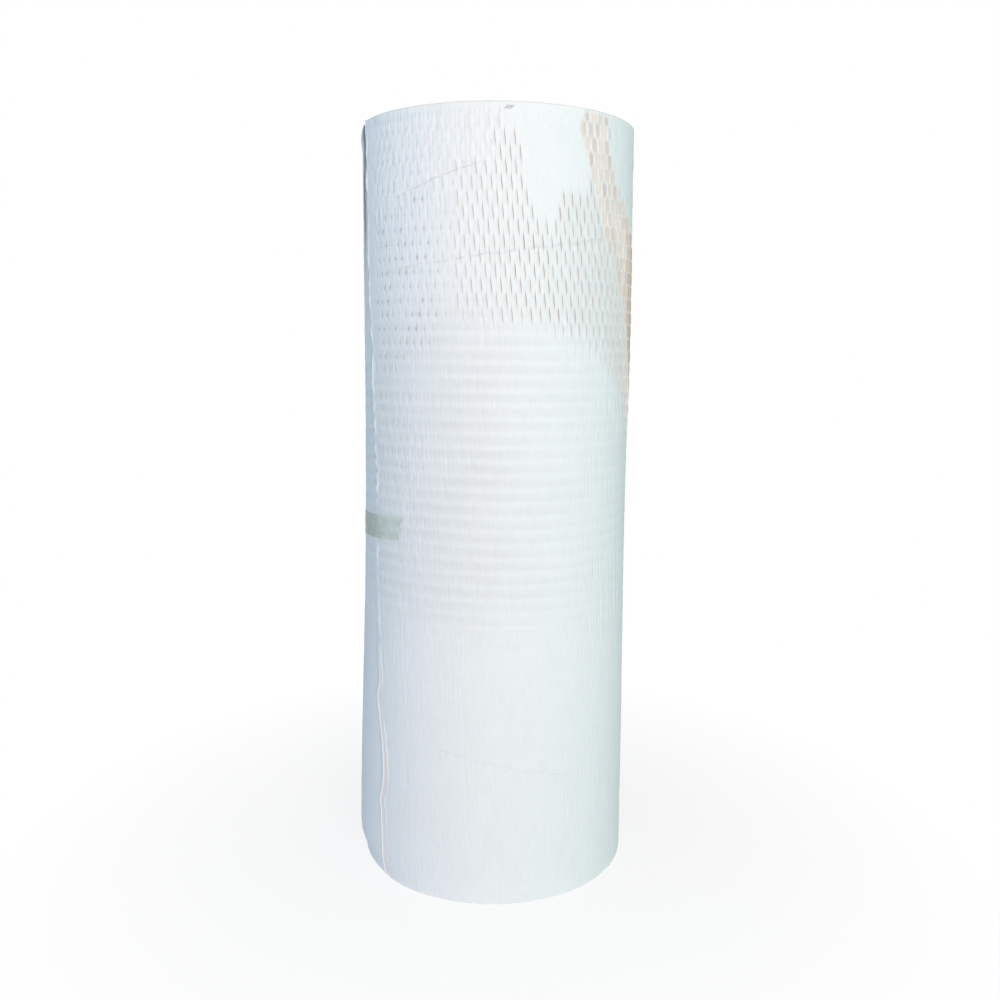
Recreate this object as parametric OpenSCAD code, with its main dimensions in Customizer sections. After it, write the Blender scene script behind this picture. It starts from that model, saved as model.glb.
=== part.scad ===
// Honeycomb paper roll: slit paper wound on a paperboard core and standing on its end.
// The origin is on the roll's axis at the surface it stands on, +Z is up and -Y is the front.
// Places round the roll are degrees from the front, growing to the right as seen from there.

/* [Roll] */
// Length of the roll, which is the width of the paper
roll_length = 500; // [420:1:520]
// Outer diameter of the wound paper at the free end of the last turn
roll_d = 186; // [150:1:200]
// Fall of the surface over the last turn, down to the layer that the free end lies on
turn_step = 1.2; // [0.6:0.1:2]
// How far the surface draws in at the slimmest place
waist_depth = 1.2; // [0:0.1:3]
// Height of the slimmest place
waist_z = 290; // [200:5:350]
// Height above and below the slimmest place over which the surface swells out again
waist_reach = 240; // [150:5:300]

/* [Slits] */
// Distance from one slit to the next in a row
slit_pitch = 6; // [5.6:0.1:8]
// Height of a row of slits, each row shifted by half a pitch
row_pitch = 8.7; // [8.2:0.1:12]
// Height of the lower part, where the slits are pressed shut
shut_height = 270; // [255:1:330]
// Rows over which the lips rise from nothing to their full lift
fade_rows = 9; // [1:1:15]
// Lift of the free lip of an open slit
lip_lift = 0.5; // [0.2:0.05:1]
// Depth to which the lip across a slit is tucked in
lip_tuck = 0.3; // [0.1:0.05:0.6]
// Width of an open slit
slit_gap = 0.6; // [0.3:0.1:1]
// Lean of the slit columns to the left, going up, in degrees
column_lean = 3; // [0:0.5:6]
// Depth of the fine upright pleats in the lower part
pleat_depth = 0.15; // [0:0.05:0.4]

/* [Free end] */
// Place of the paper's free end at the foot of the roll, in degrees
tail_deg = -50; // [-80:1:0]
// How far the torn edge has stepped to the left across the columns at the top
tail_drift = 9; // [0:1:15]

/* [Core] */
// Inner diameter of the paperboard core
core_bore_d = 76.2; // [50:0.1:80]
// Wall of the paperboard core
core_wall = 3; // [2:0.5:6]
// Clearance between the core and the first turn
core_clearance = 0.1; // [0.05:0.05:0.5]

/* [Tape] */
// Width of the tape that holds the free end
tape_w = 15.5; // [10:0.5:25]
// Length of the tape
tape_l = 78; // [50:1:90]
// Thickness of the tape
tape_t = 0.3; // [0.2:0.05:0.6]
// Clearance between the tape and the paper
tape_clearance = 0.15; // [0.1:0.05:0.3]
// Height of the middle of the tape
tape_z = 236; // [60:1:240]
// Length of tape stuck on the last turn, to the right of the free end
tape_hold = 32; // [20:1:40]
// Rise of the tape towards its right end, in degrees
tape_slant = 4.5; // [0:0.5:8]
// Width of a tooth of the torn tape ends
tooth_w = 1.55; // [1:0.05:3]
// Depth of a tooth of the torn tape ends
tooth_depth = 0.9; // [0.3:0.1:1.5]

/* [Hidden] */
roll_r = roll_d / 2;
core_r = core_bore_d / 2 + core_wall;
seat_r = core_r + core_clearance;
cut_over = 1;

// Slit lattice
slits = round(PI * roll_d / slit_pitch);
pitch_deg = 360 / slits;
deg_per_mm = 180 / (PI * roll_r);
gap_deg = slit_gap / 2 * deg_per_mm;
slit_rows = floor((roll_length - shut_height) / row_pitch);
first_row_z = roll_length - (slit_rows - 1) * row_pitch;
shut_z = roll_length - slit_rows * row_pitch;

// Rings of the shut part, evenly spaced from the foot to the first row of slits
shut_bands = 4;
shut_points = slits + 1;
slit_points = 2 * slits;

// Tape
tape_foot_z = tape_z - tape_w / 2 - tape_l / 2 * sin(tape_slant);
tape_tail_deg = tail_place(0) * pitch_deg + lean_deg(tape_z + tape_w);
tape_right_deg = tape_tail_deg + tape_hold * deg_per_mm;
tape_left_deg = tape_right_deg - tape_l * deg_per_mm;
tape_mid_deg = (tape_left_deg + tape_right_deg) / 2;
tape_step_start = -0.2;
tape_step_l = 4;
tape_facet_deg = 0.5;
tape_reach = 20;
teeth = floor(tape_w / tooth_w);

// A point of the surface at a height, in degrees from the front and a distance from the axis
function at(deg, r, z) = [r * sin(deg), -r * cos(deg), z];

// A smooth step from 0 to 1
function ease(t) = t <= 0 ? 0 : t >= 1 ? 1 : t * t * (3 - 2 * t);

// Degrees by which a slit column has leaned at a height
function lean_deg(z) = -z * tan(column_lean) * deg_per_mm;

// Distance by which the surface draws in at a height
function waist(z) = waist_depth * (1 - ease(abs(z - waist_z) / waist_reach));

// Radius of the paper at a height and a number of slit pitches to the right of the free end
function paper_r(z, pitches) = roll_r - waist(z) - turn_step * pitches / slits;

// Share of the full lift that the lips have in a row, which the first rows fade in
function lift_share(row) = ease((row + 1) / fade_rows);

// Whether a row's slits are shifted by half a pitch
function row_shift(row) = row % 2 / 2;

// Place of the free end in a row, in slit pitches: the nearest slit to a line that drifts to the left
function tail_wanted(row) = tail_deg / pitch_deg - tail_drift / slit_pitch * (row + 1) / slit_rows;
function tail_place(row) = round(tail_wanted(row) - row_shift(row)) + row_shift(row);

// Ring of the shut part: one point for each column, and two at the free end
function shut_ring(z) = [
    for (i = [0:slits])
        at((tail_place(0) + i) * pitch_deg + lean_deg(z),
            paper_r(z, i) - (i % 2) * pleat_depth, z)
];

// Ring of a row of slits: from each free lip the paper falls to the tucked lip of the next slit
function slit_ring(row) =
    let (z = first_row_z + row * row_pitch, start = tail_place(row), share = lift_share(row))
    [
        for (i = [0:slits - 1])
            for (side = [0, 1])
                at((start + i + side) * pitch_deg + (1 - 2 * side) * gap_deg + lean_deg(z),
                    paper_r(z, i + side) + share * (side == 0 ? lip_lift : -lip_tuck), z)
    ];

// Faces are listed clockwise as seen from outside.
// Band between two shut rings whose first points are a and b, with the riser of the free end
function shut_band(a, b) = [
    for (i = [0:slits])
        let (j = (i + 1) % shut_points)
        each [[a + i, b + i, a + j], [a + j, b + i, b + j]]
];

// Band from a shut ring up to the first row of slits, where each column opens into two lips
function opening_band(a, b) = [
    for (i = [0:slits - 1])
        each [
            [a + i, b + 2 * i, a + i + 1],
            [a + i + 1, b + 2 * i, b + 2 * i + 1]
        ],
    for (i = [1:slits - 1])
        [a + i, b + 2 * i - 1, b + 2 * i],
    [a + slits, b + slit_points - 1, a],
    [a, b + slit_points - 1, b]
];

// Band between two rows of slits. Each slit's lips run together at the tucked lip to its right
// in the rows above and below, which makes the diamond cells of the honeycomb.
function lifted(first, i) = first + 2 * i;
function tucked(first, i) = first + 2 * i - 1;
function cell_faces(a, b, low, high) = [
    [lifted(a, low - 1), tucked(b, high), tucked(a, low)],
    [tucked(a, low), tucked(b, high), lifted(b, high)],
    [tucked(a, low), lifted(b, high), tucked(b, high + 1)],
    [tucked(a, low), tucked(b, high + 1), lifted(a, low)]
];

// The row above starts half a pitch to the right
function right_band(a, b) = [
    [lifted(a, 0), lifted(b, 0), tucked(a, 1)],
    [tucked(a, 1), lifted(b, 0), tucked(b, 1)],
    [tucked(a, 1), tucked(b, 1), lifted(a, 1)],
    for (i = [2:slits - 1])
        each cell_faces(a, b, i, i - 1),
    [lifted(a, slits - 1), tucked(b, slits - 1), tucked(a, slits)],
    [tucked(a, slits), tucked(b, slits - 1), lifted(b, slits - 1)],
    [tucked(a, slits), lifted(b, slits - 1), tucked(b, slits)],
    [tucked(a, slits), tucked(b, slits), lifted(a, 0)],
    [lifted(a, 0), tucked(b, slits), lifted(b, 0)]
];

// The row above starts half a pitch to the left
function left_band(a, b) = [
    [lifted(a, 0), lifted(b, 0), tucked(b, 1)],
    for (i = [1:slits - 1])
        each cell_faces(a, b, i, i),
    [lifted(a, slits - 1), tucked(b, slits), tucked(a, slits)],
    [tucked(a, slits), tucked(b, slits), lifted(a, 0)],
    [lifted(a, 0), tucked(b, slits), lifted(b, 0)]
];

// The wound paper as a solid log, before the core's seat is cut
module paper_log() {
    shut_first = [for (n = [0:shut_bands]) n * shut_points];
    slits_first = [for (row = [0:slit_rows - 1]) (shut_bands + 1) * shut_points + row * slit_points];
    points = [
        for (n = [0:shut_bands])
            each shut_ring(shut_z * n / shut_bands),
        for (row = [0:slit_rows - 1])
            each slit_ring(row)
    ];
    faces = [
        [for (i = [0:slits]) i],
        for (n = [0:shut_bands - 1])
            each shut_band(shut_first[n], shut_first[n + 1]),
        each opening_band(shut_first[shut_bands], slits_first[0]),
        for (row = [0:slit_rows - 2])
            each tail_place(row + 1) > tail_place(row)
                ? right_band(slits_first[row], slits_first[row + 1])
                : left_band(slits_first[row], slits_first[row + 1]),
        [for (i = [slit_points - 1:-1:0]) slits_first[slit_rows - 1] + i]
    ];
    polyhedron(points = points, faces = faces);
}

module paper_roll() {
    color([0.93, 0.94, 0.94])
        difference() {
            paper_log();
            translate([0, 0, -cut_over])
                cylinder(r = seat_r, h = roll_length + 2 * cut_over, $fn = 120);
        }
}

module core_tube() {
    color([0.74, 0.62, 0.47])
        difference() {
            cylinder(r = core_r, h = roll_length, $fn = 120);
            translate([0, 0, -cut_over])
                cylinder(d = core_bore_d, h = roll_length + 2 * cut_over, $fn = 120);
        }
}

// Radius on which the tape lies, stepping down to the layer under the free end
function tape_seat_r(deg) =
    let (
        pitches = (deg - tape_tail_deg) / pitch_deg,
        step = ease(tape_step_start - pitches * slit_pitch / tape_step_l)
    )
    tape_clearance
        + (1 - step) * paper_r(tape_foot_z, max(pitches, 0))
        + step * paper_r(tape_foot_z, slits + min(pitches, 0));

// Plan of the tape, which bends round the roll
module tape_plan() {
    degs = [for (deg = [tape_left_deg - 3:tape_facet_deg:tape_right_deg + 3]) deg];
    inner = [for (deg = degs) tape_seat_r(deg) * [sin(deg), -cos(deg)]];
    outer = [for (deg = degs) (tape_seat_r(deg) + tape_t) * [sin(deg), -cos(deg)]];
    polygon(concat(inner, [for (i = [len(outer) - 1:-1:0]) outer[i]]));
}

// Flat outline of the tape, torn at both ends along a toothed blade
module tape_outline() {
    half_l = roll_r * sin(tape_l / 2 * deg_per_mm);
    right = [
        for (i = [0:2 * teeth])
            [half_l - (i % 2) * tooth_depth, (i / (2 * teeth) - 0.5) * tape_w]
    ];
    left = [for (p = right) [-p[0], -p[1]]];
    polygon(concat(right, left));
}

module tail_tape() {
    color([0.76, 0.81, 0.79])
        intersection() {
            translate([0, 0, tape_z - tape_reach])
                linear_extrude(2 * tape_reach)
                    tape_plan();
            rotate([0, 0, tape_mid_deg])
                translate([0, -roll_r + tape_reach, tape_z])
                    rotate([90, 0, 0])
                        rotate([0, 0, tape_slant])
                            linear_extrude(2 * tape_reach)
                                tape_outline();
        }
}

paper_roll();
core_tube();
tail_tape();
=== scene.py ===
# Honeycomb paper roll: meshes, finishes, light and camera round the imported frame
from math import cos, pi, radians, sin, tau

import bpy
import numpy as np
from mathutils import Matrix, Vector


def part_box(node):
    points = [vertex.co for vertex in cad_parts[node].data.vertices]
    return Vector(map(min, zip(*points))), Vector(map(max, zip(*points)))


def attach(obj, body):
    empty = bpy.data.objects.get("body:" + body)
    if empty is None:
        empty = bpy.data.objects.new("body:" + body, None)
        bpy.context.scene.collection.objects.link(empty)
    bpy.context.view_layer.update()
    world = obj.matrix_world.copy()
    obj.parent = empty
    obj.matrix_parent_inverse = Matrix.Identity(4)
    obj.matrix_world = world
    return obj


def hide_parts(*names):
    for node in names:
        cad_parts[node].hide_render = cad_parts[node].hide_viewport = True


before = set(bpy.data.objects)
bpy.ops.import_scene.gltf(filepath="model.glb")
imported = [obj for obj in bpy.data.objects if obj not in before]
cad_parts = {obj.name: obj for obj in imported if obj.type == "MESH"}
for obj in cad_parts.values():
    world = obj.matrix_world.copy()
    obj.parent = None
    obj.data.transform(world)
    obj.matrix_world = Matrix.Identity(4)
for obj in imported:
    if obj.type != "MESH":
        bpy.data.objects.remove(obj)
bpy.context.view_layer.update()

rng = np.random.default_rng(17)

# Sizes in mm. Places round the roll are mm of surface to the right of the free end, or degrees from
# the front that grow to the right.
MM = 0.001
paper_low, paper_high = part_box("paper_roll")
ROLL_LENGTH = (paper_high.z - paper_low.z) / MM
ROLL_R = (paper_high.y - paper_low.y) / 2 / MM
GIRTH = tau * ROLL_R
CORE_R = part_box("core_tube")[1].x / MM

# Slit lattice
SLITS = 97
COLUMNS = 2 * SLITS
COLUMN_STEP = GIRTH / COLUMNS
ROW_STEP = 8.7
RINGS_PER_ROW = 3
RING_STEP = ROW_STEP / RINGS_PER_ROW
FIRST_ROW_Z = 0.8
ROWS = 59
SLIT_HALF_LENGTH = 6.35
SLIT_SLANT = 0.07
FINE_FROM_Z = 165

# Openings of the slits: half the gap when shut, and what is added when open, turned into a dot or in
# the stretched strip. Then how far the lips go in and out, and how deep the floor lies.
SHUT_GAP = 0.12
OPEN_GAP = 0.10
DOT_GAP = 1.0
STRETCH_GAP = 1.48
DOT_SHORTER = 3.2
DOT_LIP = 0.15
LIP_IN = 0.32
LIP_OUT = 0.42
SLIT_DEPTH = 0.75
RIB = 0.03

# Turns of paper
TURN_STEP = 1.2
WAIST_DEPTH = 1.2
WAIST_Z = 290
WAIST_REACH = 240
SHEET = 0.25
WALL = 3.2

# Where the roll isn't round
LEFT_SWELL = 3.1
LEFT_SWELL_TOP = 235
RIGHT_SWELL = 1.3
CORNER_CURL = 1.1
RIM_BENT_IN = 1.1
RIM_BEND_TOP = 15

# Free end
TAIL_DEG = -50.5
LEAN_DEG_PER_MM = 0.03234
TAIL_REACH = 60
SHUT_AT_START = 12
SHUT_AT_END = 16
STRETCHED_AT_END = 34
FLAP_COLUMNS = 3
FLAP_LIFT = 0.7

# Points across it, in mm to the right of the torn edge: on the flap, and on the turn beneath from the
# second torn edge to under the flap
FLAP_EDGE = [0, 0.2, 0.6, 1.8]
LOW_EDGE = [-8.2, -7.4, -6.8, -6.4, -6.1, -5.8, -3.2, -0.8]
UNDER_FLAP = [0.8, 3, 7]
TUCK = 11

# Tape
TAPE_LENGTH = 73
TAPE_WIDTH = 15.5
TAPE_THICKNESS = 0.12
TAPE_SLANT = 4.5
TAPE_MIDDLE_Z = 236
TAPE_HOLD = 27


def ease(t):
    t = np.clip(t, 0, 1)
    return t * t * (3 - 2 * t)


def fade(value, start, end):
    """From 0 at start to 1 at end."""
    return ease((value - start) / (end - start))


def bell(value, middle, reach):
    """1 at the middle, and falling off softly over the reach."""
    return np.exp(-(((value - middle) / reach) ** 2))


def waves(count, turns, rise, seed):
    """Waves that run round the roll a whole number of times, for a smooth uneven field."""
    dice = np.random.default_rng(seed)
    return [
        (dice.integers(0, turns + 1), dice.uniform(-rise, rise), dice.uniform(0, tau), dice.uniform(0.5, 1))
        for _ in range(count)
    ]


def field(angle, z, parts):
    """Uneven field between about -1 and 1. Angle is in radians and z in mm."""
    total = sum(size * np.sin(n * angle + k * z + start) for n, k, start, size in parts)
    return total / (0.6 * len(parts))


# Steps of the torn edge, which runs from slit to slit
TEAR_Z = np.arange(0, 530, ROW_STEP / 2)
TEAR = np.random.default_rng(41).uniform(-0.9, 0.9, len(TEAR_Z))

# Upright streaks: each column of the lattice stands a little proud or low, changing slowly upwards
STREAK_KNOT = ROW_STEP
STREAKS = np.random.default_rng(43).normal(0, 0.08, (ROWS + 3, COLUMNS + 60))

LUMPS = waves(10, 5, 0.03, 3)
RIPPLES = waves(14, 40, 0.25, 5)
BAND_DRIFT = waves(8, 3, 0.05, 8)
BAND_STRENGTH = waves(12, 9, 0.12, 9)
PATCHES = waves(12, 9, 0.06, 21)


def lean_angle(z):
    """Angle of the lattice's zero line at a height, in radians from the front."""
    return np.radians(TAIL_DEG - LEAN_DEG_PER_MM * z)


def front_arc(x, z):
    """Distance from the front, in mm of surface, from half a girth left to half a girth right."""
    arc = lean_angle(z) * ROLL_R + x
    return (arc + GIRTH / 2) % GIRTH - GIRTH / 2


def waist(z):
    return WAIST_DEPTH * (1 - ease(np.abs(z - WAIST_Z) / WAIST_REACH))


# Large bends of the torn edge: heights, and mm to the right of the lattice's zero line
DRIFT_Z = [0, 9, 33, 53, 69, 89, 111, 117, 135, 154, 175, 188]
DRIFT_Z += [200, 224, 247, 275, 284, 333, 359, 388, 434, 466, 482, 496]
DRIFT = [4.4, 4.2, 4.6, 3.4, 7.7, 8, 3.1, 0.8, 4, 2.1, 1.4, 0]
DRIFT += [-0.4, 0.3, 0.5, 3.6, 1.8, 1.7, 2.1, -0.4, -0.1, 1.3, 2, 0.6]


def tail_drift(z):
    """How far the torn edge lies to the right of the lattice's zero line."""
    return np.interp(z, DRIFT_Z, DRIFT) + np.interp(z, TEAR_Z, TEAR) * fade(z, 20, 50)


def band_strength(angle, z):
    """How strong the level bands are: most at the left of the front, from a third to three quarters up."""
    arc = ((angle + pi) % tau - pi) * ROLL_R
    front = 0.3 + fade(arc, -120, -90) * (1.35 - 1.25 * fade(arc, -35, 75))
    uneven = np.clip(0.9 + 0.35 * field(angle, z, BAND_STRENGTH), 0.3, 1.4)
    return front * uneven * fade(z, 150, 225) * (1 - fade(z, 345, 405))


def bands(angle, z):
    """Soft level ridges of the tightly wound middle part."""
    place = z + 1.6 * field(angle, z, BAND_DRIFT)
    long_wave = np.cos(tau * place / (2 * ROW_STEP) + 0.7)
    return band_strength(angle, z) * (0.25 * np.cos(tau * place / ROW_STEP) + 0.08 * long_wave)


def band_shade(x, z):
    """Darkens the hollows between the level ridges a little."""
    angle = lean_angle(z) + x / ROLL_R
    place = z + 1.6 * field(angle, z, BAND_DRIFT) + 2.2
    return 1 - 0.075 * band_strength(angle, z) * (0.5 - 0.5 * np.cos(tau * place / ROW_STEP))


def streaks(x, z):
    """Height of the upright streaks."""
    column = np.clip(x / COLUMN_STEP + 20, 0, STREAKS.shape[1] - 1.01)
    knot = np.clip(z / STREAK_KNOT, 0, STREAKS.shape[0] - 1.01)
    column, knot = np.broadcast_arrays(column, knot)
    c, k = column.astype(int), knot.astype(int)
    u, v = column - c, ease(knot - k)
    low = STREAKS[k, c] * (1 - u) + STREAKS[k, c + 1] * u
    high = STREAKS[k + 1, c] * (1 - u) + STREAKS[k + 1, c + 1] * u
    return low * (1 - v) + high * v


def swell(angle, z):
    """The roll isn't quite round: it stands out low down at the left and high up at the right, its
    bottom rim is bent in at the left, and a corner curls out at the top left."""
    side = np.degrees(angle)
    left = LEFT_SWELL * (1 - ease(z / LEFT_SWELL_TOP)) * bell(side, -92, 40)
    bent_in = RIM_BENT_IN * bell(side, -72, 26)
    left = left - (left + bent_in) * (1 - fade(z, 0, RIM_BEND_TOP))
    right = RIGHT_SWELL * bell(z, 350, 85) * bell(side, 88, 40)
    corner = CORNER_CURL * bell(z, 494, 4.5) * bell(side, -84, 9)
    return left + right + corner


def paper_radius(x, z):
    """Radius of the outer surface at x mm to the right of the free end, without its slits."""
    angle = lean_angle(z) + x / ROLL_R
    round_angle = (angle + pi) % tau - pi
    uneven = 0.16 * field(angle, z, LUMPS) + 0.035 * field(angle, z, RIPPLES) + streaks(x, z)
    step = ROLL_R - waist(z) - TURN_STEP * x / GIRTH
    return step + uneven + bands(angle, z) + swell(round_angle, z)


def inside(corners, x, z):
    """Whether points lie inside a polygon."""
    found = np.zeros(np.broadcast(x, z).shape, bool)
    for (x0, z0), (x1, z1) in zip(corners, corners[1:] + corners[:1]):
        crosses = (z0 > z) != (z1 > z)
        where = x0 + (z - z0) * (x1 - x0) / (z1 - z0 if z1 != z0 else 1)
        found ^= crosses & (x < where)
    return found


# Patch that the winding pressed smooth, between the open slits and the stretched strip
SMOOTH_PATCH = [(2, 500), (52, 500), (62, 470), (68, 455), (60, 452)]
SMOOTH_PATCH += [(45, 446), (33, 432), (20, 455), (9, 478)]


def strip_left(z):
    heights = [320, 355, 381, 401, 420, 438, 456, 473, 500]
    return np.interp(z, heights, [132, 120, 107, 94.5, 84, 76, 68, 61, 52])


def strip_right(z):
    heights = [320, 400, 427, 442, 450, 464, 478, 500]
    return np.interp(z, heights, [210, 150, 122, 107, 94, 84.4, 79.5, 76])


def stretch(arc, z):
    """How far the cells of the stretched strip stand open, from 0 to 1."""
    in_strip = (arc > strip_left(z) - 1.5) & (arc < strip_right(z))
    return in_strip * fade(z, 300, 345)


# The crease at the upper left, by place round the front: dots end below it, and slits are shut above it
CREASE_Z = 469
CREASE_RISE = 0.323
DOTS_BELOW_CREASE = 6


def openness(arc, z, angle):
    """How far the slits stand open, from 0 to 1, by their place on the wall."""
    places = [-95, -45, -30, 0, 30, 60, 80, 100, 125]
    low = np.interp(arc, places, [335, 348, 376, 374, 368, 360, 345, 325, 300])
    front = fade(z, low - 9, low + 12)
    level = np.interp(arc, [-100, -60, -30, 0, 125], [0.6, 0.7, 0.85, 1, 1])
    crease = CREASE_Z + CREASE_RISE * arc
    over_crease = fade(z, crease - 3, crease + 3)
    above = np.where(arc < -4, over_crease, fade(z, 478 + arc, 492 + arc) * (arc < 12))
    front = front * level * (1 - 0.6 * above)
    front = front * ~inside(SMOOTH_PATCH, arc, z) * (1 - 0.7 * fade(z, 486, 496))
    right_of_strip = arc > strip_right(z)
    front = front * ~(right_of_strip & (z > 430) & (arc < 135))
    faint = 0.3 * fade(-arc, 38, 60) * fade(z, 205, 235) * (1 - fade(z, 320, 350)) * (arc > -115)
    front = np.maximum(front, faint)
    back_low = 330 + 35 * field(angle, z * 0, PATCHES)
    back = fade(z, back_low - 20, back_low + 40) * (0.55 + 0.5 * field(angle, z, PATCHES))
    at_back = fade(np.abs(arc), 125, 165)
    return np.clip(front * (1 - at_back) + back * at_back, 0, 1.1)


def slit_table():
    """How far each slit is open and stretched, and whether it is a dot, by row and column."""
    row, column = np.mgrid[0:ROWS, 0:COLUMNS]
    z = FIRST_ROW_Z + ROW_STEP * row
    x = column * COLUMN_STEP
    arc = front_arc(x, z)
    angle = lean_angle(z) + x / ROLL_R
    wander = rng.uniform(-2.5, 2.5, arc.shape)
    amount = openness(arc + wander, z + rng.uniform(-3, 3, arc.shape), angle)
    below_crease = z < CREASE_Z - DOTS_BELOW_CREASE + CREASE_RISE * arc
    turned = np.where((arc < -26) & (arc > -130) & below_crease, 1.0, 0.0)
    amount = amount * rng.uniform(0.72 - 0.35 * turned, 1.15, arc.shape)
    amount = amount * (1 - 0.6 * turned * fade(arc, -60, -28))
    amount = amount * (x > SHUT_AT_START) * ((x < GIRTH - SHUT_AT_END) | (z > 345))
    wide = stretch(arc + 0.3 * wander, z) * rng.uniform(0.8, 1.1, arc.shape)
    tail_strip = fade(z, 330, 380) * (x > GIRTH - STRETCHED_AT_END) * rng.uniform(0.4, 0.7, arc.shape)
    return amount, np.maximum(wide, tail_strip), turned


def make_mesh(name, points, faces, tint, sharp_deg, material):
    """Object from points in mm, with a colour for each corner of each face."""
    mesh = bpy.data.meshes.new(name)
    mesh.from_pydata((np.asarray(points) * MM).tolist(), [], faces)
    mesh.shade_smooth()
    mesh.set_sharp_from_angle(angle=radians(sharp_deg))
    layer = mesh.color_attributes.new("tint", "FLOAT_COLOR", "CORNER")
    colours = np.ones((len(tint), 4))
    colours[:, :3] = tint
    layer.data.foreach_set("color", colours.ravel())
    mesh.materials.append(material)
    piece = bpy.data.objects.new(name, mesh)
    bpy.context.scene.collection.objects.link(piece)
    return piece


def on_wall(angle, radius, z):
    """Points in mm from angles from the front in radians."""
    return np.stack([radius * np.sin(angle), -radius * np.cos(angle), z + 0 * angle], axis=-1)


# Tints of the paper: the sheet's own white, painted shade in a slit and in a dot, painted warm shade of
# the layer beneath in the open cells from near to far, painted highlight on torn edges, painted warm shade
# in the gap between the torn edges, and painted shade on the turn beneath beside the free end
WHITE = np.array([1.0, 1.0, 1.0])
SLIT_SHADE = np.array([0.84, 0.76, 0.71])
DOT_SHADE = np.array([0.60, 0.61, 0.63])
UNDER_LAYER_SHADE = np.array([0.98, 0.86, 0.79])
DEEP_SHADE = np.array([0.86, 0.74, 0.66])
FAR_SHADE = np.array([0.60, 0.50, 0.40])
CELL_TONES = np.random.default_rng(47).uniform(0.92, 1.04, (ROWS, COLUMNS))
TORN_EDGE_HIGHLIGHT = np.array([1.09, 1.09, 1.09])
TAIL_GAP_SHADE = np.array([1.10, 1.00, 0.95])
TAIL_STRIP_SHADE = np.array([0.97, 0.95, 0.92])
TAIL_SHADE = np.array([0.17, 0.17, 0.165])


def mix(first, second, share):
    share = np.asarray(share)[..., None]
    return first * (1 - share) + second * share


def edge_shades(tint, offset, z):
    """Paints shade on the turn beneath near the free end, by mm to the right of it, where it stands open: a
    light grey band, and a dark band under the lifted flap.
    """
    grey = fade(z, 350, 400) * fade(offset, -40, -25)
    middle = -16 + 3.5 * fade(z, 462, 482)
    deep = 0.93 * bell(offset, middle, 4.4) * fade(z, 395, 450)
    return mix(mix(tint, TAIL_STRIP_SHADE, grey), TAIL_SHADE, deep)


def column_points(ring, z, drift):
    """Three points for each column: the lip at the left, the bottom of the slit and the lip at the
    right. The tints are those of the strips to the right of each point, at their two sides."""
    amount, wide, turned = slit_table()
    column = np.arange(1, COLUMNS - 2)
    odd = column % 2
    row = (ring / RINGS_PER_ROW)[:, None]
    nearest = odd + 2 * np.rint((row - odd) / 2)
    off = (row - nearest) * ROW_STEP
    index = np.clip(nearest, 0, ROWS - 1).astype(int)
    spread = wide[index, column]
    turn = turned[index, column] * (spread < 0.1)
    opened = amount[index, column] * (1 - np.minimum(spread * 1.5, 1))
    half_length = SLIT_HALF_LENGTH - DOT_SHORTER * turn
    share = np.clip(1 - np.abs(off / half_length) ** 2.4, 0, 1)
    opened = opened * share
    spread = spread * np.interp(np.abs(off), [0, 2.9, 5.8, 8.7], [1, 0.97, 0.12, 0])
    spread = spread * (z[:, None] < ROLL_LENGTH - 1)

    slant = -SLIT_SLANT * (1 - turn) * off * (1 - (off / ROW_STEP) ** 2)
    x = column * COLUMN_STEP + slant * np.minimum(1, amount[index, column] + 0.3)
    near_start = drift[:, None] * (1 - x / TAIL_REACH) * (x < TAIL_REACH)
    near_end = drift[:, None] * (1 - (GIRTH - x) / TAIL_REACH) * (x > GIRTH - TAIL_REACH)
    x = x + near_start + near_end
    half_gap = SHUT_GAP + (OPEN_GAP + DOT_GAP * turn) * opened + STRETCH_GAP * spread
    gap = np.stack([-half_gap, 0.35 * half_gap * np.minimum(spread * 2, 1), half_gap], axis=-1)
    rib_share = 0.5 + 0.5 * fade(z[:, None], 120, 200) - 0.6 * fade(z[:, None], 420, 480)
    ribs = RIB * (1 - 2 * odd) * rib_share
    lips = [DOT_LIP * turn - LIP_IN * (1 - turn), 0 * turn, LIP_OUT * (1 - turn)]
    lips = np.stack(lips, axis=-1)
    stretched_lips = np.stack([-0.1 * spread, -SLIT_DEPTH * spread, 0.45 * spread], axis=-1)
    floor = np.stack([0 * opened, -SLIT_DEPTH * opened - 0.02, 0 * opened], axis=-1)
    x3 = x[..., None] + gap
    height = lips * opened[..., None] + floor + stretched_lips + ribs[..., None]
    radius = paper_radius(x3, z[:, None, None]) + height

    # Painted shade in the slits and dots as they open, and in the open cells the warm painted shade of the
    # layer beneath, darker at their floors and towards the right
    shade = np.clip(opened * (1.9 - 0.4 * turn), 0, 1)
    open_cell = np.clip(spread * 4, 0, 1)
    slit = mix(WHITE, mix(SLIT_SHADE, DOT_SHADE, turn), shade)
    far = fade(front_arc(x, z[:, None]), 100, 125)
    tone = CELL_TONES[index, column][..., None]
    facet = mix(slit, tone * mix(UNDER_LAYER_SHADE, DEEP_SHADE, 0.5 * far), open_cell)
    bottom = mix(slit, tone ** 2 * mix(DEEP_SHADE, FAR_SHADE, far), open_cell)
    free = WHITE + 0 * facet
    tint = np.stack([facet, bottom, free], axis=-2)
    tint = tint * band_shade(x3, z[:, None, None])[..., None]
    tint = edge_shades(tint, x3 - GIRTH - drift[:, None, None], z[:, None, None])
    tuck = np.zeros(x3.shape)
    tuck[:, :-1, 2] = (shade * (1 - 0.6 * turn))[:, 1:]
    levels = len(z)
    return {
        "x": x3.reshape(levels, -1),
        "radius": radius.reshape(levels, -1),
        "tint": tint.reshape(levels, -1, 3),
        "tuck": tuck.reshape(levels, -1),
    }


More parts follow.
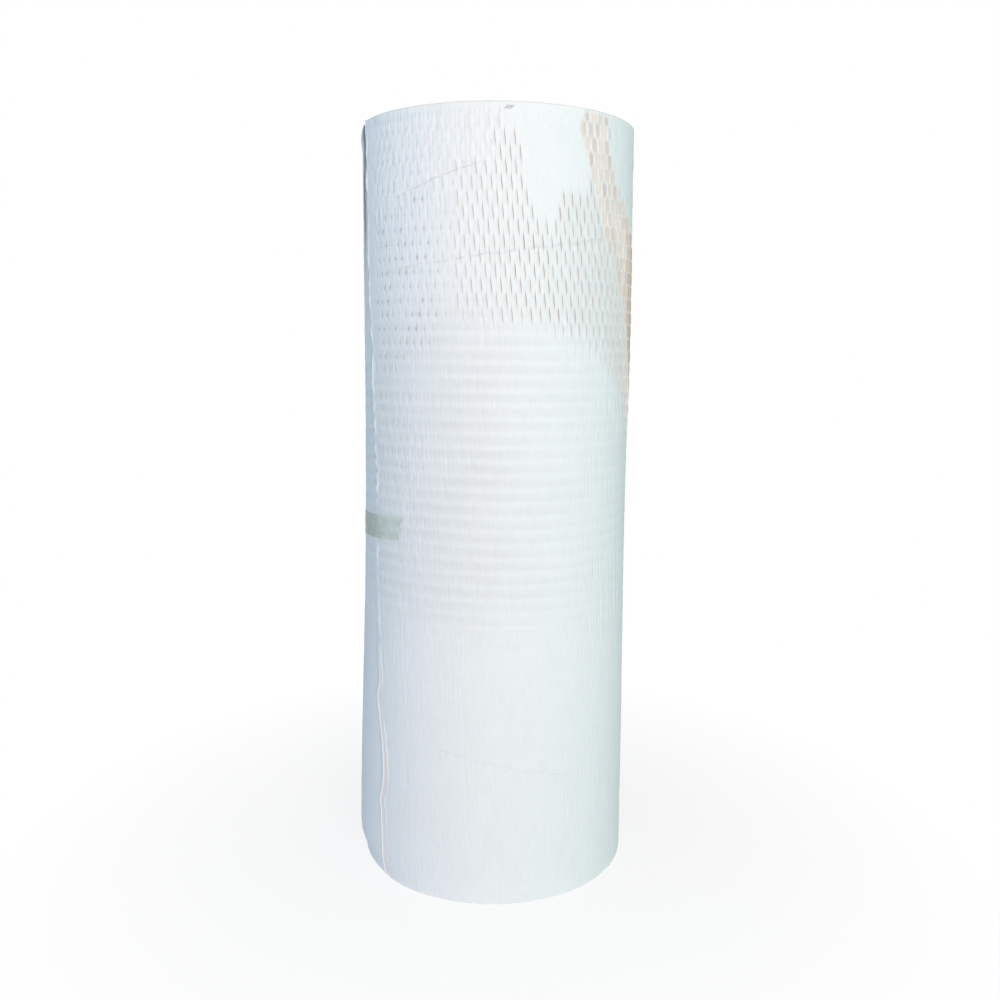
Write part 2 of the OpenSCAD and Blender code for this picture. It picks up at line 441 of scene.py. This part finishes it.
def flap_lift(x, z, drift):
    """How far the free end stands off the turn beneath, held down by the tape."""
    lift = FLAP_LIFT * fade(z, 262, 350) - 0.25 * (1 - fade(z, 200, 226))
    lift = lift - 0.55 * (1 - fade(np.abs(z - TAPE_MIDDLE_Z), 8, 26))
    reach = 4.5 + 3 * fade(z, 262, 350)
    away = np.maximum(x - drift, 0)
    curl = np.clip(0.2 + 0.5 * np.interp(z, TEAR_Z, TEAR[::-1]), 0, 0.55)
    curl = curl * fade(np.abs(z - TAPE_MIDDLE_Z), 8, 14)
    return lift * np.exp(-away / reach) + curl * np.exp(-away / 0.45)


def low_edge_points(z, drift):
    """The turn beneath along the free end, with the second torn edge that shows low down."""
    offsets = np.array(LOW_EDGE + UNDER_FLAP + [TUCK], float)
    reach = np.interp(z, [0, 60, 110, 150], [1, 0.92, 0.8, 0.66])
    reach = reach + 0.05 * np.interp(z, TEAR_Z, TEAR[::-1])
    x = GIRTH + drift[:, None] + np.where(offsets < 0, offsets * reach[:, None], offsets)
    low_part = (1 - fade(z, 112, 165))[:, None]
    raised = np.interp(offsets, [-8.2, -6.8, 7, 11], [0, 1, 1, 0.4])
    raised = 0.55 * (1 - fade(z, 130, 200))[:, None] * raised
    radius = paper_radius(x, z[:, None]) + raised
    ridge_at = [-6.8, -6.4, -6.1, -5.8, -3.2, -0.8, 0.8]
    ridge = np.interp(offsets, ridge_at, [0, 0.2, 0.3, -0.1, -0.16, -0.12, 0])
    # Painted light and shade low down: warm shade in the gap between the two torn edges, lifted above white
    # in red, and a highlight on the second torn edge
    gap = (offsets > -6.2) & (offsets < 3)
    edge = (offsets > -6.9) & (offsets < -6)
    plain = edge_shades(WHITE + 0 * radius[..., None], offsets + 0 * radius, z[:, None])
    tint = mix(plain, TAIL_GAP_SHADE, low_part * gap)
    left = mix(tint, TORN_EDGE_HIGHLIGHT, low_part * edge)
    right = np.concatenate([tint[:, 1:], tint[:, -1:]], axis=1)
    right = mix(right, TORN_EDGE_HIGHLIGHT, low_part * edge)
    return x, radius + ridge * low_part, left, right


def loop_points(ring, z):
    """Closed loop for each ring: the flap's top, the turn, the turn beneath and the flap's underside."""
    drift = tail_drift(z)
    flap_x = drift[:, None] + np.array(FLAP_EDGE, float)
    flap_r = paper_radius(flap_x, z[:, None])
    flap_tint = WHITE + 0 * flap_r[..., None]
    # Painted highlight along the torn edge of the flap, stronger at some steps than at others
    bright = np.clip(0.5 + 0.8 * np.interp(z, TEAR_Z, TEAR[::-1]), 0, 1)
    flap_tint[:, :2] = mix(WHITE, TORN_EDGE_HIGHLIGHT, bright)[:, None]
    column = column_points(ring, z, drift)
    x = np.concatenate([flap_x, column["x"]], axis=1)
    radius = np.concatenate([flap_r, column["radius"]], axis=1)
    lift = flap_lift(x, z[:, None], drift[:, None]) * (x < GIRTH / 2)
    radius = radius + lift
    low_x, low_r, low_left, low_right = low_edge_points(z, drift)
    flap_count = len(FLAP_EDGE) + 3 * FLAP_COLUMNS + 1
    under_x = x[:, :flap_count][:, ::-1].copy()
    under_r = radius[:, :flap_count][:, ::-1] - SHEET
    under_x[:, 0] -= 0.4
    # Painted shade on the flap's underside, and a painted highlight at its torn edge
    under_shade_and_highlight = mix(WHITE + 0 * under_r[..., None], UNDER_LAYER_SHADE, 0.4)
    under_shade_and_highlight[:, -1] = TORN_EDGE_HIGHLIGHT
    return {
        "x": np.concatenate([x, low_x, under_x], axis=1),
        "radius": np.concatenate([radius, low_r, under_r], axis=1),
        "left": np.concatenate([flap_tint, column["tint"], low_left, under_shade_and_highlight], axis=1),
        "right": np.concatenate([flap_tint, column["tint"], low_right, under_shade_and_highlight], axis=1),
        "tuck": np.concatenate([0 * flap_r, column["tuck"], 0 * low_r, 0 * under_r], axis=1),
        "flap": flap_count,
        "wall": x.shape[1],
        "low": low_x.shape[1],
    }


def build_outer_turns(material):
    """The last turn with its slits and free end, and a plain wall inside it."""
    top_ring = int((ROLL_LENGTH - FIRST_ROW_Z) / RING_STEP)
    fine_ring = RINGS_PER_ROW * int((FINE_FROM_Z - FIRST_ROW_Z) / ROW_STEP)
    rings = [-FIRST_ROW_Z / RING_STEP] + list(range(6)) + list(range(6, fine_ring, RINGS_PER_ROW))
    rings += list(range(fine_ring, top_ring + 1))
    ring = np.array(rings, float)
    z = FIRST_ROW_Z + RING_STEP * ring
    z[-1] = ROLL_LENGTH
    loop = loop_points(ring, z)
    flap_count, wall_count, low_count = loop["flap"], loop["wall"], loop["low"]
    angle = lean_angle(z)[:, None] + loop["x"] / ROLL_R
    points = on_wall(angle, loop["radius"], z[:, None])
    count = angle.shape[1]
    levels = len(z)
    faces = []
    for level in range(levels - 1):
        low, high = level * count, (level + 1) * count
        faces += [
            (low + i, low + (i + 1) % count, high + (i + 1) % count, high + i)
            for i in range(count)
        ]
    left, right = loop["left"], loop["right"]
    tints = np.stack([left[:-1], right[:-1], right[1:], left[1:]], axis=2).reshape(-1, 3)
    tuck = loop["tuck"]
    tucks = np.stack([0 * tuck[:-1], tuck[:-1], tuck[1:], 0 * tuck[1:]], axis=2).ravel()

    # Inner loop: one point for each column from the end of the flap on
    body = list(range(flap_count - 1, wall_count + low_count))
    inner_of = [min((i - flap_count + 1) // 3, (wall_count - flap_count) // 3) for i in body]
    low_first = wall_count - flap_count + 1
    for n in range(low_first, len(body)):
        inner_of[n] = inner_of[low_first - 1] + 1 + (n - low_first) // 4
    inner_count = inner_of[-1] + 1
    inner_at = [body[inner_of.index(n)] for n in range(inner_count)]
    inner_r = ROLL_R - WALL
    base = levels * count
    ends = []
    inner_points = []
    for n, level in enumerate((0, levels - 1)):
        inner_points.append(on_wall(angle[level, inner_at], np.full(inner_count, inner_r), z[level]))
        ends.append(base + n * inner_count)
    flap = [(i, i + 1, count - 2 - i, count - 1 - i) for i in range(flap_count - 1)]
    last, under = body[-1], body[-1] + 1
    for n, level in enumerate((0, levels - 1)):
        first = level * count
        shown = [tuple(first + i for i in face) for face in flap]
        for a, b, ia, ib in zip(body, body[1:], inner_of, inner_of[1:]):
            inner = (ends[n] + ib, ends[n] + ia) if ia != ib else (ends[n] + ia,)
            shown.append((first + a, first + b) + inner)
        shown.append((first + last, ends[n], ends[n] + inner_count - 1))
        shown.append((first + last, first + under, ends[n]))
        shown.append((first + under, first + flap_count - 1, ends[n]))
        faces += shown if n else [face[::-1] for face in shown]
    for i in range(inner_count):
        j = (i + 1) % inner_count
        faces.append((ends[0] + j, ends[0] + i, ends[1] + i, ends[1] + j))
    all_points = np.concatenate([points.reshape(-1, 3)] + inner_points)
    corners = sum(len(face) for face in faces)
    tints = np.concatenate([tints, np.ones((corners - len(tints), 3))])
    piece = make_mesh("outer_turns", all_points, faces, tints, 35, material)
    layer = piece.data.attributes.new("tuck", "FLOAT", "CORNER")
    layer.data.foreach_set("value", np.concatenate([tucks, np.zeros(corners - len(tucks))]))
    return piece


# Turns that show in the ends, drawn a few sheets to a ridge
RIDGE_STEP = 1.2
ROWS_PER_RIDGE = 4
SECTORS = 180
ENDS_CLEARANCE = 0.3


def build_inner_turns(material):
    """The turns inside the last one, with the spiral of their edges in both ends."""
    first_r = CORE_R + ENDS_CLEARANCE
    last_r = ROLL_R - WALL + 0.8
    rows = ROWS_PER_RIDGE * int((last_r - first_r) / RIDGE_STEP)
    row, sector = np.meshgrid(np.arange(rows + 1), np.arange(SECTORS), indexing="ij")
    turn = row / ROWS_PER_RIDGE + sector / SECTORS
    radius = first_r + RIDGE_STEP * turn
    angle = tau * sector / SECTORS
    profile = np.array([0.75, 0.12, 0.0, 0.42])[row % ROWS_PER_RIDGE]
    dice = np.random.default_rng(31)
    heights = dice.uniform(0, 1, rows // ROWS_PER_RIDGE + 3)
    level = np.interp(turn, np.arange(len(heights)), heights)
    waves_here = 0.5 + 0.5 * np.sin(3 * angle + 9 * turn) * np.sin(5 * angle - 4 * turn + 1)
    depth = 0.05 + profile * (0.5 + 0.7 * waves_here) + 0.45 * level
    # Painted shade in the grooves between the ridges of the ends, by their depth
    shade = mix(WHITE, DEEP_SHADE, 0.75 * np.clip(profile, 0, 1) * (0.6 + 0.4 * waves_here))
    top = on_wall(angle, radius, ROLL_LENGTH - depth)
    bottom = on_wall(angle, radius, depth)
    count = (rows + 1) * SECTORS

    def at(r, s):
        return (r + ROWS_PER_RIDGE) * SECTORS if s == SECTORS else r * SECTORS + s

    faces = []
    for r in range(rows):
        for s in range(SECTORS):
            if s == SECTORS - 1 and r + 1 + ROWS_PER_RIDGE > rows:
                continue
            quad = (at(r, s), at(r, s + 1), at(r + 1, s + 1), at(r + 1, s))
            faces.append(quad[::-1])
            faces.append(tuple(count + i for i in quad))
    steps_in = [at(r, 0) for r in range(ROWS_PER_RIDGE, 0, -1)]
    inner = [at(0, s) for s in range(SECTORS)] + steps_in
    steps_out = [at(rows - r, SECTORS - 1) for r in range(1, ROWS_PER_RIDGE + 1)]
    outer = [at(rows, s) for s in range(SECTORS)] + steps_out
    for a, b in zip(outer, outer[1:] + outer[:1]):
        faces.append((count + a, count + b, b, a))
    for a, b in zip(inner, inner[1:] + inner[:1]):
        faces.append((a, b, count + b, count + a))
    points = np.concatenate([top.reshape(-1, 3), bottom.reshape(-1, 3)])
    tint = np.concatenate([shade.reshape(-1, 3)] * 2)[np.concatenate(faces)]
    return make_mesh("inner_turns", points, faces, tint, 60, material)


def build_tape(material):
    """Strip of film with torn ends that follows the paper across the free end."""
    along = np.linspace(-0.5, 0.5, 105)
    across = np.linspace(-0.5, 0.5, 19)
    s, t = np.meshgrid(along, across, indexing="ij")
    ragged = 0.35 * np.sin(41 * t) + 0.3 * np.sin(97 * t + 1) + 0.2 * np.sin(171 * t)
    cut = np.where(s > 0, 1.3 * ragged + 6 * t, ragged)
    reach = s * TAPE_LENGTH + cut * (2 * np.abs(s)) ** 12
    slant = radians(TAPE_SLANT)
    tail = tail_drift(np.array(TAPE_MIDDLE_Z + 3.0))
    x = tail + TAPE_HOLD - TAPE_LENGTH / 2 + reach * cos(slant) - t * TAPE_WIDTH * sin(slant)
    z = TAPE_MIDDLE_Z + reach * sin(slant) + t * TAPE_WIDTH * cos(slant)
    drift = tail_drift(z)
    over = fade(x - drift, -3.5, -0.2)
    lifted = paper_radius(np.maximum(x, drift), z) + flap_lift(x, z, drift)
    beneath = paper_radius(GIRTH + np.minimum(x, drift), z)
    seat = over * lifted + (1 - over) * beneath
    wrinkle = 0.05 * np.sin(0.9 * x + 0.5 * z) * np.sin(0.35 * z) + 0.03 * np.sin(2.3 * x)
    inner_r = seat + 0.12 + np.maximum(wrinkle, -0.03)
    angle = lean_angle(z) + x / ROLL_R
    inner = on_wall(angle, inner_r, z)
    outer = on_wall(angle, inner_r + TAPE_THICKNESS, z)
    rows, columns = s.shape
    count = rows * columns
    faces = []
    for i in range(rows - 1):
        for j in range(columns - 1):
            a = i * columns + j
            quad = (a, a + columns, a + columns + 1, a + 1)
            faces.append(tuple(count + k for k in quad))
            faces.append(quad[::-1])
    rim = [j * columns for j in range(rows)]
    rim += [(rows - 1) * columns + j for j in range(1, columns)]
    rim += [j * columns + columns - 1 for j in range(rows - 2, -1, -1)]
    rim += [j for j in range(columns - 2, 0, -1)]
    for a, b in zip(rim, rim[1:] + rim[:1]):
        faces.append((a, b, count + b, count + a))
    points = np.concatenate([inner.reshape(-1, 3), outer.reshape(-1, 3)])
    return make_mesh("tape_strip", points, faces, np.ones((sum(map(len, faces)), 3)), 60, material)


class Nodes:
    """Short calls that add nodes to one material."""

    def __init__(self, name):
        self.material = bpy.data.materials.new(name)
        self.material.use_nodes = True
        self.tree = self.material.node_tree
        self.shader = self.tree.nodes["Principled BSDF"]
        self.output = self.tree.nodes["Material Output"]

    def add(self, kind, inputs=(), **settings):
        node = self.tree.nodes.new(kind)
        for key, value in settings.items():
            setattr(node, key, value)
        for key, value in dict(inputs).items():
            self.feed(node.inputs[key], value)
        return node

    def feed(self, socket, value):
        if isinstance(value, bpy.types.NodeSocket):
            self.tree.links.new(value, socket)
        else:
            socket.default_value = value

    def math(self, operation, first, second=0.0, third=0.0):
        node = self.add("ShaderNodeMath", operation=operation)
        for socket, value in zip(node.inputs, (first, second, third)):
            self.feed(socket, value)
        return node.outputs[0]

    def noise(self, place, scale, detail=3.0, roughness=0.5):
        inputs = {"Vector": place, "Scale": scale, "Detail": detail, "Roughness": roughness}
        return self.add("ShaderNodeTexNoise", inputs).outputs["Fac"]

    def stretched(self, place, factors):
        node = self.add("ShaderNodeVectorMath", {0: place, 1: factors}, operation="MULTIPLY")
        return node.outputs[0]

    def remap(self, value, low, high, new_low, new_high):
        inputs = {"Value": value, "From Min": low, "From Max": high, "To Min": new_low, "To Max": new_high}
        return self.add("ShaderNodeMapRange", inputs).outputs["Result"]

    def tinted(self, colour, share, other):
        """A colour that turns into another where share is 1."""
        node = self.add("ShaderNodeMix", data_type="RGBA")
        for socket, value in zip((node.inputs[0], node.inputs[6], node.inputs[7]), (share, colour, other)):
            self.feed(socket, value)
        return node.outputs[2]

    def times(self, colour, factor):
        node = self.add("ShaderNodeMix", data_type="RGBA", blend_type="MULTIPLY")
        for socket, value in zip((node.inputs[0], node.inputs[6], node.inputs[7]), (1.0, colour, factor)):
            self.feed(socket, value)
        return node.outputs[2]

    def bump(self, height, strength, distance, normal=None):
        inputs = {"Height": height, "Strength": strength, "Distance": distance}
        if normal:
            inputs["Normal"] = normal
        return self.add("ShaderNodeBump", inputs).outputs["Normal"]


def wall_place(nodes):
    """Object coordinates, degrees from the front and height in mm."""
    place = nodes.add("ShaderNodeTexCoord").outputs["Object"]
    split = nodes.add("ShaderNodeSeparateXYZ", {"Vector": place})
    forward = nodes.math("MULTIPLY", split.outputs["Y"], -1)
    angle = nodes.math("DEGREES", nodes.math("ARCTAN2", split.outputs["X"], forward))
    height = nodes.math("DIVIDE", split.outputs["Z"], MM)
    return place, angle, height


# Creases of the paper: level at the front in mm, rise in mm per degree, its growth, ends in degrees
# and how strong the painted shade line and the painted highlight line are
CREASES = [
    (469.1, 0.525, 0.0, -44, -4, 0.8, 0.5),
    (421.0, 0.0, 0.0, -58, -40, 0.5, 0.2),
    (412.2, 0.225, 0.0004, -52, 52, 0.45, 1.0),
    (92.5, -0.36, 0.0, -26, 40, 0.5, 0.4),
]


def crease_lines(nodes, place, angle, height):
    """Dark and light lines of the creases, each from 0 to 1: painted shade and painted highlight in the
    colour, and the fold in the bump.
    """
    wobble = nodes.noise(nodes.stretched(place, (1.0, 1.0, 0.3)), 90.0, 2.0)
    wobble = nodes.math("MULTIPLY", nodes.math("SUBTRACT", wobble, 0.5), 3.0)
    dark, light = 0.0, 0.0
    breaks = nodes.remap(nodes.noise(place, 330.0, 2.0), 0.38, 0.55, 0.25, 1.0)
    for level, rise, growth, left, right, dark_share, light_share in CREASES:
        curve = nodes.math("MULTIPLY_ADD", angle, growth, rise)
        line = nodes.math("MULTIPLY_ADD", angle, curve, level)
        off = nodes.math("ADD", nodes.math("SUBTRACT", height, line), wobble)
        start = nodes.remap(angle, left, left + 5, 0.0, 1.0)
        end = nodes.remap(angle, right - 7, right, 1.0, 0.0)
        both = nodes.math("MULTIPLY", nodes.math("MULTIPLY", start, end), breaks)
        away = nodes.math("ABSOLUTE", off)
        mask = nodes.math("MULTIPLY", nodes.remap(away, 0.0, 0.36, dark_share, 0.0), both)
        dark = nodes.math("MAXIMUM", dark, mask)
        away = nodes.math("ABSOLUTE", nodes.math("ADD", off, 0.8))
        mask = nodes.math("MULTIPLY", nodes.remap(away, 0.0, 0.42, light_share, 0.0), both)
        light = nodes.math("MAXIMUM", light, mask)
    return dark, light


PAPER = (0.87, 0.88, 0.89, 1.0)
TUCK_SHADE = (0.66, 0.61, 0.58, 1.0)
CREASE_SHADE = (0.62, 0.60, 0.60, 1.0)
CREASE_HIGHLIGHT = (0.97, 0.97, 0.97, 1.0)
MARK_GREY = (0.46, 0.47, 0.48, 1.0)
RIM_BEIGE = (0.62, 0.55, 0.47, 1.0)


def rim_mark(nodes, angle, height):
    """Small grey scuff just under the front of the rim."""
    slope = nodes.math("MULTIPLY_ADD", height, 0.55, -273.1)
    left = nodes.remap(nodes.math("SUBTRACT", angle, slope), 2.4, 2.9, 0.0, 1.0)
    right = nodes.remap(nodes.math("SUBTRACT", angle, slope), 5.4, 5.9, 1.0, 0.0)
    low = nodes.remap(height, 495.3, 495.7, 0.0, 1.0)
    high = nodes.remap(height, 497.4, 497.9, 1.0, 0.0)
    return nodes.math("MULTIPLY", nodes.math("MULTIPLY", left, right), nodes.math("MULTIPLY", low, high))


def paper_material():
    """White slit paper with fibres, fine upright streaks and a few creases."""
    nodes = Nodes("slit_paper")
    place, angle, height = wall_place(nodes)
    tint = nodes.add("ShaderNodeAttribute", attribute_name="tint").outputs["Color"]
    dark, light = crease_lines(nodes, place, angle, height)
    cloud = nodes.noise(place, 70.0, 4.0, 0.6)
    speck = nodes.noise(place, 900.0, 2.0)
    fluting = nodes.noise(nodes.stretched(place, (1.0, 1.0, 0.26)), 480.0, 3.0, 0.6)
    mottle = nodes.math("MULTIPLY_ADD", cloud, 0.05, 0.923)
    mottle = nodes.math("MULTIPLY_ADD", speck, 0.03, mottle)
    mottle = nodes.math("MULTIPLY_ADD", fluting, 0.06, mottle)
    tuck = nodes.add("ShaderNodeAttribute", attribute_name="tuck").outputs["Fac"]
    tuck = nodes.math("MULTIPLY", nodes.math("POWER", tuck, 2.2), 0.42)
    colour = nodes.times(nodes.times(PAPER, tint), mottle)
    colour = nodes.tinted(colour, tuck, TUCK_SHADE)
    # Painted shade and painted highlight along the creases
    colour = nodes.tinted(colour, nodes.math("MULTIPLY", dark, 0.5), CREASE_SHADE)
    colour = nodes.tinted(colour, nodes.math("MULTIPLY", light, 0.7), CREASE_HIGHLIGHT)
    mark_share = nodes.remap(speck, 0.35, 0.6, 0.35, 0.8)
    mark = nodes.math("MULTIPLY", rim_mark(nodes, angle, height), mark_share)
    colour = nodes.tinted(colour, mark, MARK_GREY)
    rim = nodes.remap(height, ROLL_LENGTH - 0.8, ROLL_LENGTH - 0.2, 0.0, 0.45)
    colour = nodes.tinted(colour, rim, RIM_BEIGE)
    nodes.feed(nodes.shader.inputs["Base Color"], colour)
    nodes.shader.inputs["Roughness"].default_value = 0.82
    nodes.shader.inputs["Specular IOR Level"].default_value = 0.35
    fibres = nodes.noise(place, 1600.0, 3.0, 0.6)
    lines = nodes.math("SUBTRACT", light, dark)
    normal = nodes.bump(fluting, 0.7, 0.0006)
    normal = nodes.bump(fibres, 0.35, 0.0001, normal)
    normal = nodes.bump(lines, 0.8, 0.0004, normal)
    nodes.feed(nodes.shader.inputs["Normal"], normal)
    return nodes.material


def ends_material():
    """The cut edges of the turns, which show in the ends."""
    nodes = Nodes("paper_edges")
    place = nodes.add("ShaderNodeTexCoord").outputs["Object"]
    split = nodes.add("ShaderNodeSeparateXYZ", {"Vector": place})
    flat = nodes.add("ShaderNodeCombineXYZ", {"X": split.outputs["X"], "Y": split.outputs["Y"]}).outputs[0]
    radius = nodes.add("ShaderNodeVectorMath", {0: flat}, operation="LENGTH").outputs["Value"]
    angle = nodes.math("ARCTAN2", split.outputs["Y"], split.outputs["X"])
    along = nodes.math("MULTIPLY", angle, 0.004)
    ring_place = nodes.add("ShaderNodeCombineXYZ", {"X": radius, "Y": along}).outputs[0]
    sheets = nodes.noise(ring_place, 4200.0, 2.0, 0.6)
    cloud = nodes.noise(place, 60.0, 4.0, 0.6)
    tint = nodes.add("ShaderNodeAttribute", attribute_name="tint").outputs["Color"]
    mottle = nodes.math("MULTIPLY_ADD", cloud, 0.07, 0.87)
    mottle = nodes.math("MULTIPLY_ADD", sheets, 0.12, mottle)
    nodes.feed(nodes.shader.inputs["Base Color"], nodes.times(nodes.times(PAPER, tint), mottle))
    nodes.shader.inputs["Roughness"].default_value = 0.9
    nodes.shader.inputs["Specular IOR Level"].default_value = 0.3
    nodes.feed(nodes.shader.inputs["Normal"], nodes.bump(sheets, 0.7, 0.0004))
    return nodes.material


BOARD = (0.52, 0.37, 0.23, 1.0)
BOARD_SEAM = (0.25, 0.16, 0.09, 1.0)
BOARD_SPIRAL_MM = 110


def board_material():
    """Brown paperboard wound in a slanting strip."""
    nodes = Nodes("core_board")
    place, angle, height = wall_place(nodes)
    turns = nodes.math("DIVIDE", angle, 360.0)
    wound = nodes.math("FRACT", nodes.math("MULTIPLY_ADD", height, 1 / BOARD_SPIRAL_MM, turns))
    seam = nodes.remap(nodes.math("ABSOLUTE", nodes.math("SUBTRACT", wound, 0.5)), 0.0, 0.006, 1.0, 0.0)
    fibres = nodes.noise(nodes.stretched(place, (1.0, 1.0, 3.0)), 500.0, 4.0, 0.6)
    cloud = nodes.noise(place, 50.0, 4.0, 0.6)
    shade = nodes.math("MULTIPLY_ADD", fibres, 0.30, 0.65)
    shade = nodes.math("MULTIPLY_ADD", cloud, 0.2, shade)
    colour = nodes.times(BOARD, shade)
    colour = nodes.tinted(colour, nodes.math("MULTIPLY", seam, 0.6), BOARD_SEAM)
    nodes.feed(nodes.shader.inputs["Base Color"], colour)
    nodes.shader.inputs["Roughness"].default_value = 0.88
    normal = nodes.bump(fibres, 0.5, 0.0002)
    normal = nodes.bump(nodes.math("MULTIPLY", seam, -1.0), 0.7, 0.0003, normal)
    nodes.feed(nodes.shader.inputs["Normal"], normal)
    return nodes.material


TAPE_DULL = (0.47, 0.54, 0.50, 1.0)
TAPE_PALE = (0.81, 0.87, 0.80, 1.0)


def tape_material():
    """Translucent grey-green film with a mottled layer of glue."""
    nodes = Nodes("clear_tape")
    place = nodes.add("ShaderNodeTexCoord").outputs["Object"]
    glue = nodes.noise(nodes.stretched(place, (1.0, 1.0, 0.6)), 260.0, 5.0, 0.65)
    fine = nodes.noise(nodes.stretched(place, (1.0, 1.0, 0.1)), 900.0, 2.0)
    shade = nodes.math("MULTIPLY_ADD", glue, 0.34, 0.78)
    shade = nodes.math("MULTIPLY_ADD", fine, 0.10, shade)
    angle = wall_place(nodes)[1]
    # The film turns from dull at the left to pale towards its torn right end, with a mottled border
    paling = nodes.math("MULTIPLY_ADD", glue, 16.0, nodes.math("SUBTRACT", angle, 8.0))
    colour = nodes.tinted(TAPE_DULL, nodes.remap(paling, -70, -50, 0.0, 1.0), TAPE_PALE)
    colour = nodes.times(colour, shade)
    nodes.feed(nodes.shader.inputs["Base Color"], colour)
    nodes.shader.inputs["Roughness"].default_value = 0.38
    nodes.shader.inputs["Alpha"].default_value = 0.66
    nodes.shader.inputs["Coat Weight"].default_value = 0.15
    nodes.feed(nodes.shader.inputs["Normal"], nodes.bump(glue, 0.3, 0.0003))
    return nodes.material


GROUND_WHITE = (0.93, 0.93, 0.93, 1.0)


def floor_material():
    """White ground that shows white to the camera and keeps a soft shadow near the roll."""
    nodes = Nodes("white_ground")
    place = nodes.add("ShaderNodeTexCoord").outputs["Object"]
    away = nodes.add("ShaderNodeVectorMath", {0: place}, operation="LENGTH").outputs["Value"]
    grain = nodes.noise(place, 300.0, 2.0)
    colour = nodes.times(GROUND_WHITE, nodes.remap(grain, 0, 1, 0.99, 1.0))
    nodes.feed(nodes.shader.inputs["Base Color"], colour)
    nodes.shader.inputs["Roughness"].default_value = 0.9
    nodes.shader.inputs["Specular IOR Level"].default_value = 0.1
    glow = nodes.add("ShaderNodeEmission", {"Color": (1.0, 1.0, 1.0, 1.0), "Strength": 1.0})
    path = nodes.add("ShaderNodeLightPath")
    seen = nodes.math("MAXIMUM", path.outputs["Is Camera Ray"], path.outputs["Is Glossy Ray"])
    seen = nodes.math("MAXIMUM", seen, path.outputs["Is Transmission Ray"])
    share = nodes.math("MULTIPLY", seen, nodes.remap(away, 0.10, 0.34, 0.8, 1.0))
    blend = nodes.add("ShaderNodeMixShader", {0: share, 1: nodes.shader.outputs[0], 2: glow.outputs[0]})
    nodes.feed(nodes.output.inputs["Surface"], blend.outputs[0])
    return nodes.material


def build_floor():
    mesh = bpy.data.meshes.new("ground")
    half = 12.0
    corners = [(-half, -half, 0), (half, -half, 0), (half, half, 0), (-half, half, 0)]
    mesh.from_pydata(corners, [], [(0, 1, 2, 3)])
    mesh.materials.append(floor_material())
    ground = bpy.data.objects.new("ground", mesh)
    bpy.context.scene.collection.objects.link(ground)


WORLD_STRENGTH = 0.27


def build_world():
    """Even light from all round, and plain white behind the roll."""
    world = bpy.data.worlds.new("studio")
    bpy.context.scene.world = world
    world.use_nodes = True
    tree = world.node_tree
    tree.nodes.clear()
    path = tree.nodes.new("ShaderNodeLightPath")
    first = tree.nodes.new("ShaderNodeMath")
    second = tree.nodes.new("ShaderNodeMath")
    first.operation = second.operation = "MAXIMUM"
    tree.links.new(path.outputs["Is Camera Ray"], first.inputs[0])
    tree.links.new(path.outputs["Is Glossy Ray"], first.inputs[1])
    tree.links.new(first.outputs[0], second.inputs[0])
    tree.links.new(path.outputs["Is Transmission Ray"], second.inputs[1])
    strength = tree.nodes.new("ShaderNodeMapRange")
    strength.inputs["To Min"].default_value = WORLD_STRENGTH
    strength.inputs["To Max"].default_value = 1.0
    tree.links.new(second.outputs[0], strength.inputs["Value"])
    background = tree.nodes.new("ShaderNodeBackground")
    background.inputs["Color"].default_value = (1.0, 1.0, 1.0, 1.0)
    tree.links.new(strength.outputs["Result"], background.inputs["Strength"])
    output = tree.nodes.new("ShaderNodeOutputWorld")
    tree.links.new(background.outputs[0], output.inputs["Surface"])


def build_lamp(name, azimuth, elevation, distance, size, power, colour):
    """Soft square lamp aimed at the middle of the roll. Azimuth 0 is the front."""
    data = bpy.data.lights.new(name, "AREA")
    data.size = size
    data.energy = power
    data.color = colour
    lamp = bpy.data.objects.new(name, data)
    middle = Vector((0, 0, ROLL_LENGTH * MM / 2))
    a, e = radians(azimuth), radians(elevation)
    lamp.location = middle + distance * Vector((sin(a) * cos(e), -cos(a) * cos(e), sin(e)))
    lamp.rotation_euler = (middle - lamp.location).to_track_quat("-Z", "Y").to_euler()
    bpy.context.scene.collection.objects.link(lamp)


# Camera, fitted to the rims and sides of the roll in the photograph
CAMERA_PLACE = (0.0, -0.6787, 0.3558)
CAMERA_PITCH_DEG = 5.684
CAMERA_ROLL_DEG = 0.506
CAMERA_LENS = 34.74
CAMERA_SHIFT = (0.0049, -0.0577)


def build_camera():
    data = bpy.data.cameras.new("camera")
    data.sensor_width = 36
    data.lens = CAMERA_LENS
    data.shift_x, data.shift_y = CAMERA_SHIFT
    camera = bpy.data.objects.new("camera", data)
    pitch = Matrix.Rotation(radians(90 - CAMERA_PITCH_DEG), 4, "X")
    roll = Matrix.Rotation(radians(CAMERA_ROLL_DEG), 4, "Z")
    camera.matrix_world = Matrix.Translation(CAMERA_PLACE) @ pitch @ roll
    bpy.context.scene.collection.objects.link(camera)
    bpy.context.scene.camera = camera


build_camera()
build_world()
build_floor()
build_lamp("key_lamp", 11, 26, 1.8, 1.1, 20.0, (1.0, 0.965, 0.955))
build_lamp("left_lamp", -85, 8, 2.0, 1.4, 7.0, (0.0, 0.46, 0.98))
build_lamp("left_high_lamp", -80, 58, 0.85, 0.3, 0.62, (0.55, 0.9, 1.0))
build_lamp("right_lamp", 75, 8, 2.0, 1.4, 4.5, (0.0, 1.0, 0.95))

paper = paper_material()
outer_turns = build_outer_turns(paper)
inner_turns = build_inner_turns(ends_material())
tape_strip = build_tape(tape_material())
for piece, node, slot in (
    (outer_turns, "paper_roll", "slit_paper"),
    (inner_turns, "paper_roll", "slit_paper"),
    (tape_strip, "tail_tape", "clear_tape"),
):
    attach(piece, "root")
    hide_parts(node)

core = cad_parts["core_tube"]
core.data.materials.clear()
core.data.materials.append(board_material())

bpy.context.scene.view_settings.view_transform = "Standard"
